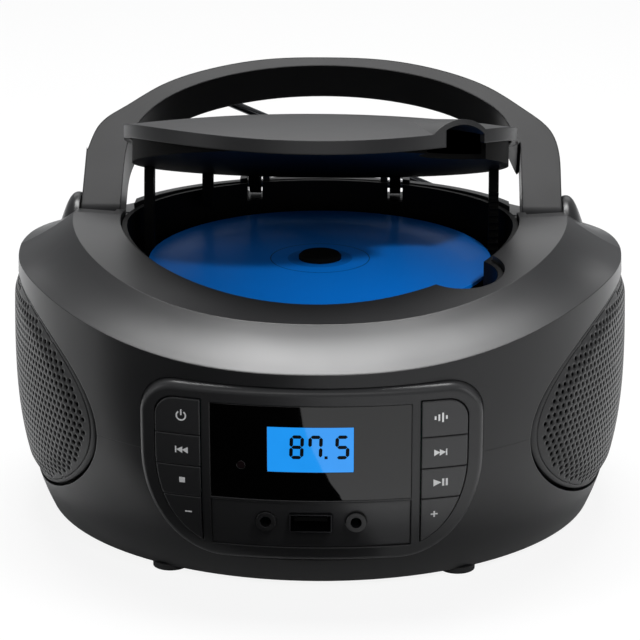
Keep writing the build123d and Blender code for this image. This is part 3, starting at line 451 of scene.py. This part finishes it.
def rim_band():
    """A ring from just under the honeycomb's edge, over the rim's lip and back into the wall."""
    q = np.array([sheet_edge - 0.01, sheet_edge, 0.975, 0.99, 0.998, 0.998])
    lower = np.array([0.08, 0.02, 0.0, 0.05, 0.5, 2.0])
    turn = np.linspace(0, 2 * math.pi, rim_steps + 1)[:-1]
    s = belt_r * np.arcsin(grille_a * q[:, None] * np.cos(turn) / belt_r)
    z = grille_z + grille_b * q[:, None] * np.sin(turn)
    points = on_grille(s, z, lower[:, None]).reshape(-1, 3)
    i, j = np.meshgrid(np.arange(len(q) - 1), np.arange(rim_steps), indexing="ij")
    a = i * rim_steps + j
    b = i * rim_steps + (j + 1) % rim_steps
    return points, np.stack([a, b, b + rim_steps, a + rim_steps], -1).reshape(-1, 4)


cells, cell_faces, hole_count = honeycomb()
band, band_faces = rim_band()
points = np.concatenate([cells, band])
faces = cell_faces + [list(f) for f in band_faces + len(cells)]
for side, word in ((1, "right"), (-1, "left")):
    placed = points * (side, 1, 1)
    turned = faces if side > 0 else [f[::-1] for f in faces]
    sheet = surface("grille_sheet_" + word, placed, turned, powder_steel, "casing")
    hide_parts("speaker_grille_" + word)
print("holes in each grille", hole_count)

# %% [markdown]
# ## Signs on the keys
# The keys carry pad-printed signs: power, skip, stop, level bars, play, plus and minus. Each is
# a set of flat outlines in X and Z, laid on the curved cap a few hundredths of a millimetre
# proud, and it moves with its key.

# %% Outlines for the signs
ink_white = moulded("pad-printed ink, white", "f4f4f4", 0.5, grain_mm=0.3, bump_um=5.0,
                    edge_mm=0.05)
ink_dark = moulded("display segment, dark", "02060a", 0.4, grain_mm=0.5, bump_um=1.0,
                   edge_mm=0.05, specular=0.1)


def arc(cx, cz, r, width, start, stop, count=28):
    """A band of a ring between two angles: out along the outside, back along the inside."""
    t = np.radians(np.linspace(start, stop, count))
    way = np.stack([np.cos(t), np.sin(t)], -1)
    out = (cx, cz) + (r + width / 2) * way
    back = (cx, cz) + (r - width / 2) * way
    return np.concatenate([out, back[::-1]])


def bar(cx, cz, w, h):
    """A four-cornered bar."""
    return np.array([[-w, -h], [w, -h], [w, h], [-w, h]]) / 2 + (cx, cz)


def wedge(cx, cz, w, h):
    """A triangle that points along +X."""
    return np.array([[cx - w / 2, cz - h / 2], [cx + w / 2, cz], [cx - w / 2, cz + h / 2]])


def mirrored(figure, centre):
    """The figure mirrored in an upright line, for the skip sign on the left."""
    out = figure.copy()
    out[:, 0] = 2 * centre - out[:, 0]
    return out


def printed(name, figures, body, material, proud):
    """Flat outlines in X and Z laid on the panel's drum, facing out."""
    points, faces, start = [], [], 0
    for figure in figures:
        x, z = figure[:, 0], figure[:, 1]
        area = np.sum(x * np.roll(z, -1) - z * np.roll(x, -1))
        figure = figure if area > 0 else figure[::-1]
        y = panel_y(figure[:, 0], figure[:, 1], proud)
        points.append(np.stack([figure[:, 0], y, figure[:, 1]], -1))
        faces.append(list(range(start, start + len(figure))))
        start += len(figure)
    return surface(name, np.concatenate(points), faces, material, body, smooth=False)


# %% Printed signs
key_x, volume_x = 41.6, 39.8
power_z, skip_z, stop_z, volume_z = 63.7, 51.8, 41.2, 29.6
key_proud = 0.5 + 0.07
thin, thick = 0.5, 0.55

skip = [wedge(key_x - 1.1, skip_z, 2.0, 2.3), wedge(key_x + 0.7, skip_z, 2.0, 2.3),
        bar(key_x + 1.9, skip_z, 0.45, 2.3)]
play = [wedge(key_x - 0.9, stop_z, 2.6, 2.6), bar(key_x + 0.95, stop_z, 0.7, 2.6),
        bar(key_x + 2.1, stop_z, 0.7, 2.6)]
levels = [bar(key_x - 1.8 + 1.2 * k, power_z, 0.6, 1.2 + 1.0 * (k % 3)) for k in range(4)]
signs = {
    "power_key": [arc(-key_x, power_z - 0.2, 1.5, thin, 125, 415),
                  bar(-key_x, power_z + 0.9, thin, 2.0)],
    "back_key": [mirrored(f, 0.0) for f in skip],
    "stop_key": [bar(-key_x, stop_z, 1.9, 1.9)],
    "volume_down_key": [bar(-volume_x, volume_z, 2.3, thick)],
    "mode_key": levels,
    "next_key": skip,
    "play_key": play,
    "volume_up_key": [bar(volume_x, volume_z, 2.3, thick), bar(volume_x, volume_z, thick, 2.3)],
}
for key, figures in signs.items():
    printed(key + "_sign", figures, key, ink_white, key_proud)
print("printed signs", len(signs))

# %% [markdown]
# ## The lit number
# The display shows a plain number in seven bars a digit. A bar is a slightly slanted strip with
# pointed ends, and a table says which bars each digit lights.

# %% The number
segment_table = {"8": "abcdefg", "7": "abcf", "5": "afgcd"}
digit_w, digit_h, digit_t, digit_lean, bar_gap = 3.45, 7.0, 1.15, 0.25, 0.1
digit_z, digit_x, point_x, point_w = 55.0, {"8": -4.4, "7": 1.6, "5": 10.2}, 5.0, 1.0
number_sunk = 0.03


def strip(half, cut):
    """A level bar with pointed ends: half its length, and half its thickness as the cut."""
    return np.array([[-half, 0], [-half + cut, -cut], [half - cut, -cut], [half, 0],
                     [half - cut, cut], [-half + cut, cut]])


def bars_of(digit, cx, cz):
    """Seven-bar digit: three level bars and four upright ones, each shortened where they meet."""
    level = {"a": digit_h / 2, "g": 0.0, "d": -digit_h / 2}
    upright = {"f": (-1, 1), "b": (1, 1), "e": (-1, -1), "c": (1, -1)}
    out = []
    for key in segment_table[digit]:
        if key in level:
            shape = strip(digit_w / 2 - bar_gap, digit_t / 2) + (0, level[key])
        else:
            sx, sz = upright[key]
            half, cut = digit_h / 4 - bar_gap, digit_t / 2
            shape = np.array([[0, -half], [cut, -half + cut], [cut, half - cut], [0, half],
                              [-cut, half - cut], [-cut, -half + cut]])
            shape = shape + (sx * digit_w / 2, sz * digit_h / 4)
        slant = shape[:, 1] * digit_lean / digit_h
        out.append(shape + np.stack([slant, 0 * slant], -1) + (cx, cz))
    return out


number = [figure for digit, x in digit_x.items() for figure in bars_of(digit, x, digit_z)]
number.append(bar(point_x, digit_z - digit_h / 2, point_w, point_w))
printed("display_number", number, "casing", ink_dark, -number_sunk)
print("bars in the number", len(number))

# %% [markdown]
# ## Studio
# A white floor shows white to the camera and keeps the shadow. In the light that it throws back
# up at the object it counts as a mid grey, so that the underside stays dark. A dark card on the
# floor is mirrored in the window's left half, as a photographer would place one to keep a
# polished front black; it shows in mirrors alone.

# %% Floor and card
floor_reach, floor_cells = 4000, 8
white_share = 0.88
card_lift = 0.8


def flat_piece(name, points, faces, material):
    """A flat mesh from points in millimetres, with one material."""
    mesh = bpy.data.meshes.new(name)
    mesh.from_pydata((points * mm).tolist(), [], faces)
    obj = bpy.data.objects.new(name, mesh)
    bpy.context.collection.objects.link(obj)
    obj.data.materials.append(material)
    return obj


mat, tree = blank("white studio floor")
rays = add(tree, "ShaderNodeLightPath")
tone = add(tree, "ShaderNodeMix", {6: rgb("f2f2f2"), 7: rgb("5a5a5a")},
           {0: rays.outputs["Is Diffuse Ray"]}, data_type="RGBA")
paint = add(tree, "ShaderNodeBsdfDiffuse", {}, {"Color": tone.outputs[2]})
lit = add(tree, "ShaderNodeEmission", {"Color": (1, 1, 1, 1), "Strength": 1.0})
share = add(tree, "ShaderNodeMath", {1: white_share}, {0: rays.outputs["Is Camera Ray"]},
            operation="MULTIPLY")
mix = add(tree, "ShaderNodeMixShader", {},
          {0: share.outputs[0], 1: paint.outputs[0], 2: lit.outputs[0]})
floor_mat = close(mat, tree, mix)
row = floor_cells + 1
grid = np.linspace(-floor_reach, floor_reach, row)
gx, gy = np.meshgrid(grid, grid)
floor_points = np.stack([gx.ravel(), gy.ravel(), 0 * gx.ravel()], -1)
cell = (np.arange(floor_cells)[:, None] * row + np.arange(floor_cells)).ravel()
floor_faces = np.stack([cell, cell + 1, cell + row + 1, cell + row], -1).tolist()
floor = flat_piece("floor", floor_points, floor_faces, floor_mat)

card_corners = np.array([[26.0, -100.0], [-85.0, -620.0], [-600.0, -620.0], [-600.0, -100.0]])
card_mat, tree = blank("black velvet card")
place = add(tree, "ShaderNodeTexCoord").outputs["Object"]
pile = add(tree, "ShaderNodeTexNoise", {"Scale": per_mm(1.0)}, {"Vector": place})
shade = add(tree, "ShaderNodeMapRange", {"To Min": 0.001, "To Max": 0.003},
            {"Value": pile.outputs["Fac"]})
close(card_mat, tree, add(tree, "ShaderNodeBsdfDiffuse", {}, {"Color": shade.outputs["Result"]}))
card = flat_piece("dark_card", np.column_stack([card_corners, np.full(4, card_lift)]),
                  [[0, 3, 2, 1]], card_mat)
for sight in ("visible_camera", "visible_diffuse", "visible_transmission", "visible_shadow"):
    setattr(card, sight, False)
print("floor cells", len(floor_faces))

# %% [markdown]
# ## Surroundings
# The camera, and anything clear, sees a white world. Mirrors see a fifth of that white, and the
# rest of the light from all round is a dim grey, so that the lamps alone shape the object.

# %% World
world = bpy.data.worlds.new("surroundings")
bpy.context.scene.world = world
world.use_nodes = True
tree = world.node_tree
tree.nodes.clear()
rays = add(tree, "ShaderNodeLightPath")
seen = add(tree, "ShaderNodeMath", {},
           {0: rays.outputs["Is Camera Ray"], 1: rays.outputs["Is Transmission Ray"]},
           operation="MAXIMUM")
mirror_share = add(tree, "ShaderNodeMath", {1: 0.2}, {0: rays.outputs["Is Glossy Ray"]},
                   operation="MULTIPLY")
seen = add(tree, "ShaderNodeMath", {}, {0: seen.outputs[0], 1: mirror_share.outputs[0]},
           operation="MAXIMUM")
dim = add(tree, "ShaderNodeBackground", {"Color": rgb("b9bcc0"), "Strength": 0.35})
white = add(tree, "ShaderNodeBackground", {"Color": (1, 1, 1, 1), "Strength": 1.0})
mix = add(tree, "ShaderNodeMixShader", {},
          {0: seen.outputs[0], 1: dim.outputs[0], 2: white.outputs[0]})
add(tree, "ShaderNodeOutputWorld", {}, {"Surface": mix.outputs[0]})
print("world", world.name)

# %% [markdown]
# ## Lamps
# A large soft light hangs overhead and one stands behind, which draw the bright bands on the
# deck. A wide one in front and one on each side fill the belly. A narrow spot from the front
# right reaches the disc under the lid; being small, it would leave a hard glint, so mirrors
# don't see it.

# %% Lamps
spot_deg, spot_soft = 10.0, 0.05


def lamp(name, place, aim, size, power):
    """A soft rectangle of that size in metres, or a narrow spot where it has none, facing aim."""
    data = bpy.data.lights.new(name, "AREA" if size else "SPOT")
    if size:
        data.shape = "RECTANGLE"
        data.size, data.size_y = size
    else:
        data.spot_size, data.spot_blend = math.radians(spot_deg), 1.0
        data.shadow_soft_size = spot_soft
    data.energy = power
    obj = bpy.data.objects.new(name, data)
    bpy.context.collection.objects.link(obj)
    obj.location = place
    way = np.array(aim, float) - np.array(place, float)
    obj.rotation_euler = Vector(way).to_track_quat("-Z", "Y").to_euler()
    obj.visible_glossy = size is not None
    return obj


lamp("overhead", (0.0, 0.20, 0.95), (0, -0.02, 0.08), (0.55, 0.34), 11.5)
lamp("behind", (0.0, 1.15, 0.75), (0, 0, 0.08), (1.3, 0.35), 2.2)
lamp("front_soft", (0.0, -1.25, 0.85), (0, 0, 0.06), (1.2, 0.4), 3.0)
lamp("left_side", (-1.0, -0.25, 0.4), (0, 0, 0.06), (0.5, 0.6), 0.9)
lamp("right_side", (1.0, -0.25, 0.4), (0, 0, 0.06), (0.5, 0.6), 1.5)
lamp("disc_spot", (0.34, -0.72, 0.83), (0.028, -0.052, 0.085), None, 38.0)
print("lamps", len(bpy.data.lights))

# %% [markdown]
# ## Camera
# A disc is 120 mm wide, so its width and its ellipse in the picture give the camera's distance
# and height. The camera looks a little below the disc's centre, because in the picture that
# lies above the middle row.

# %% Camera
frame_px, middle_row, disc_row = 640.0, 320.0, 259.5
sensor_mm = 36.0
distance, elevation, azimuth, focal_px = 1.0, math.radians(17.0), math.radians(1.65), 2850.0
disc_centre = np.array([0.0, 0.0, 0.085])

camera_data = bpy.data.cameras.new("camera")
camera = bpy.data.objects.new("camera", camera_data)
bpy.context.collection.objects.link(camera)
bpy.context.scene.camera = camera
drop = math.atan((middle_row - disc_row) / focal_px)
toward = np.array([math.sin(azimuth) * math.cos(elevation),
                   -math.cos(azimuth) * math.cos(elevation), math.sin(elevation)])
camera.location = disc_centre + distance * toward
camera.rotation_euler = (math.pi / 2 - elevation - drop, 0, azimuth)
camera_data.sensor_width = sensor_mm
camera_data.lens = sensor_mm * focal_px / frame_px
camera_data.clip_end = 50.0
print("camera at", tuple(round(v, 4) for v in camera.location), "lens",
      round(camera_data.lens, 1))

# %% [markdown]
# ## Finish
# Colours go out as they are written.

# %% Finish
bpy.context.scene.view_settings.view_transform = "Standard"
